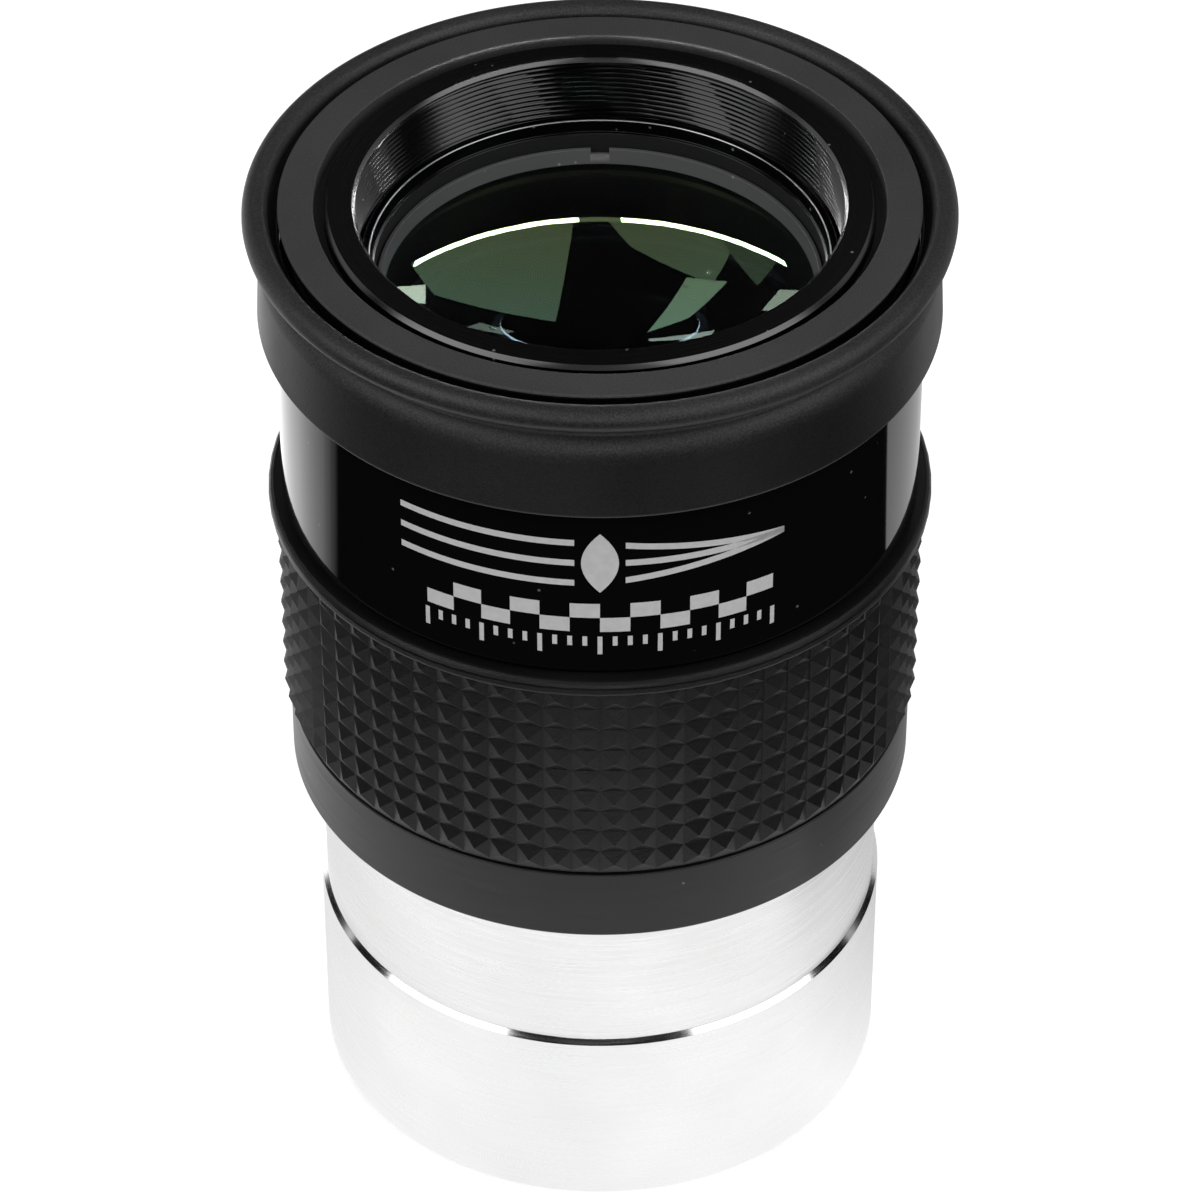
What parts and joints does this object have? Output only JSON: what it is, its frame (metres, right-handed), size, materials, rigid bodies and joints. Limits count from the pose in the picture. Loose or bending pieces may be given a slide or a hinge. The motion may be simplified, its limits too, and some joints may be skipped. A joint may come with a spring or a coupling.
{
  "type": "telescope eyepiece",
  "caption": "Push-fit eyepiece for a telescope: a hollow-faced eye lens in a gripped black housing, with a fold-down rubber eyecup and a bright barrel.",
  "frame": {"origin": "centre of the barrel's open end face, which the eyepiece stands on", "axes": "+Z along the optical axis, from the telescope towards the eye; +X and +Y across it, with +X to the right of someone facing the printed side from -Y"},
  "size_m": [0.0598, 0.0598, 0.0935],
  "materials": {
    "chrome_barrel": "satin chrome, with a polished chamfer",
    "gloss_black": "gloss black anodised",
    "satin_black": "satin black anodised",
    "matt_black": "matt black",
    "rubber": "fine speckled matt rubber",
    "coated_glass": "polished, with a green and purple coating"
  },
  "bodies": {
    "eyepiece_body": {"housing": "gloss_black", "lower_ring": "satin_black", "grip_band": "rubber", "eye_ring": "satin_black", "eyecup_collar": "rubber", "lens_cell": "gloss_black", "eye_lens_retainer": "gloss_black", "eye_lens_crown": "coated_glass", "eye_lens_flint": "coated_glass", "lens_spacer": "matt_black", "field_lens": "coated_glass", "field_lens_retainer": "matt_black"},
    "folding_eyecup": {"eyecup_skirt": "rubber"},
    "barrel_carrier": {"field_stop": "matt_black"},
    "screw_barrel": {"barrel": "chrome_barrel"}
  },
  "joints": [
    {"name": "eyecup_raise", "type": "slide", "parent": "eyepiece_body", "child": "folding_eyecup", "axis": [0, 0, 1], "range_m": [0, 0.0105]},
    {"name": "barrel_travel", "type": "slide", "parent": "eyepiece_body", "child": "barrel_carrier", "axis": [0, 0, -1], "range_m": [0, 0.006]},
    {"name": "barrel_unscrew", "type": "hinge", "parent": "barrel_carrier", "child": "screw_barrel", "pos_m": [0, 0, 0], "axis": [0, 0, -1], "range_deg": [0, 2880]}
  ],
  "couplings": [
    {"joint": "barrel_travel", "follows": "barrel_unscrew", "m_per_rad": 0.00011937}
  ]
}
